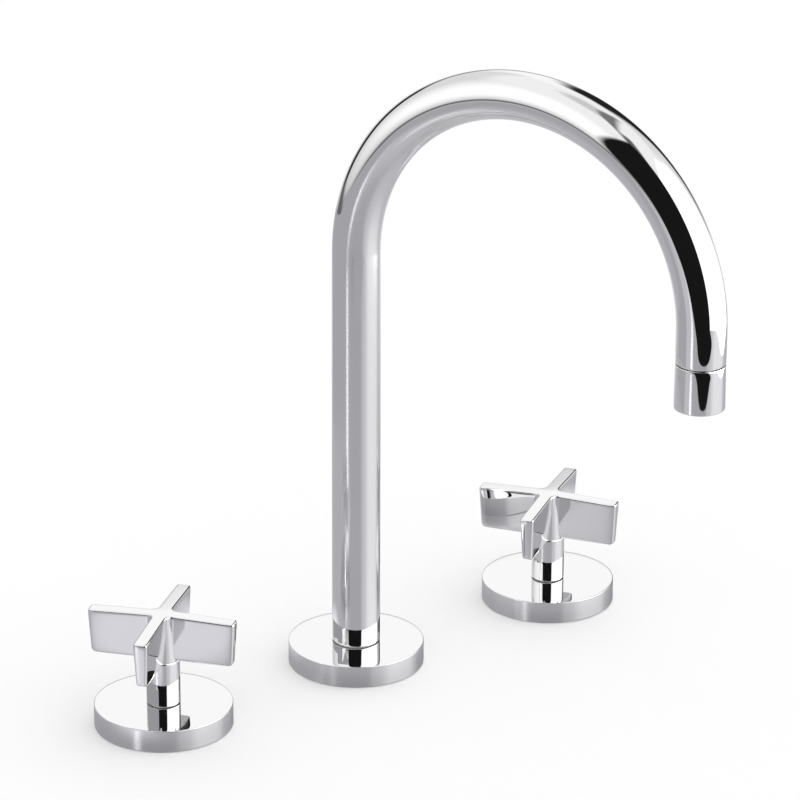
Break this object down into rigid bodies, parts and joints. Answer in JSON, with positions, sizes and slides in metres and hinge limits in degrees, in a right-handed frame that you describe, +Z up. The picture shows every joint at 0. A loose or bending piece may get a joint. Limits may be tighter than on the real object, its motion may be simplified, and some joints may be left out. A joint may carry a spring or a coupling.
{
  "type": "widespread bathroom faucet",
  "caption": "Widespread basin faucet with flat-armed cross handles and a high arched swivel spout, on plain round flanges.",
  "frame": {"origin": "on the spout's axis, at the top of the deck", "axes": "+X along the three deck holes towards the cold side, -Y towards the user, +Z up"},
  "size_m": [0.2598, 0.1903, 0.3542],
  "materials": {
    "chrome": "polished chrome plate",
    "brass": "machined brass",
    "steel": "stainless steel",
    "rubber": "moulded seal rubber",
    "ceramic": null,
    "plastic": "acetal"
  },
  "bodies": {
    "base": {"hot_flange": "chrome", "hot_flange_seal": "rubber", "hot_valve_body": "brass", "hot_top_washer": "steel", "hot_retaining_clip": "steel", "hot_deck_gasket": "rubber", "hot_mounting_washer": "steel", "hot_mounting_nut": "brass", "hot_cartridge_body": "brass", "hot_stator_disc": "ceramic", "hot_seat_seal": "rubber", "hot_glide_ring": "plastic", "cold_flange": "chrome", "cold_flange_seal": "rubber", "cold_valve_body": "brass", "cold_top_washer": "steel", "cold_retaining_clip": "steel", "cold_deck_gasket": "rubber", "cold_mounting_washer": "steel", "cold_mounting_nut": "brass", "cold_cartridge_body": "brass", "cold_stator_disc": "ceramic", "cold_seat_seal": "rubber", "cold_glide_ring": "plastic", "spout_flange": "chrome", "spout_flange_seal": "rubber", "spout_shank": "brass", "spout_base_gasket": "rubber", "spout_deck_gasket": "rubber", "spout_mounting_washer": "steel", "spout_mounting_nut": "brass", "spout_lower_bush": "plastic", "spout_upper_bush": "plastic", "spout_lower_ring": "rubber", "spout_upper_ring": "rubber", "inlet_tee": "brass", "tee_seal": "rubber"},
    "hot_handle_group": {"hot_handle": "chrome", "hot_set_screw": "steel", "hot_cartridge_stem": "brass", "hot_stem_ring": "rubber", "hot_rotor_disc": "ceramic"},
    "cold_handle_group": {"cold_handle": "chrome", "cold_set_screw": "steel", "cold_cartridge_stem": "brass", "cold_stem_ring": "rubber", "cold_rotor_disc": "ceramic"},
    "spout_group": {"spout_tube": "chrome", "spout_retaining_screw": "steel", "outlet_ring": "chrome", "aerator_washer": "rubber", "aerator_screen": "steel", "aerator_insert": "plastic"}
  },
  "joints": [
    {"name": "hot_handle_turn", "type": "hinge", "parent": "base", "child": "hot_handle_group", "pos_m": [-0.0988, 0, 0], "axis": [0, 0, 1], "range_deg": [0, 90]},
    {"name": "cold_handle_turn", "type": "hinge", "parent": "base", "child": "cold_handle_group", "pos_m": [0.1044, 0, 0], "axis": [0, 0, 1], "range_deg": [-90, 0]},
    {"name": "spout_swivel", "type": "hinge", "parent": "base", "child": "spout_group", "pos_m": [0, 0, 0], "axis": [0, 0, 1], "range_deg": [-78.7, 41.3]}
  ]
}
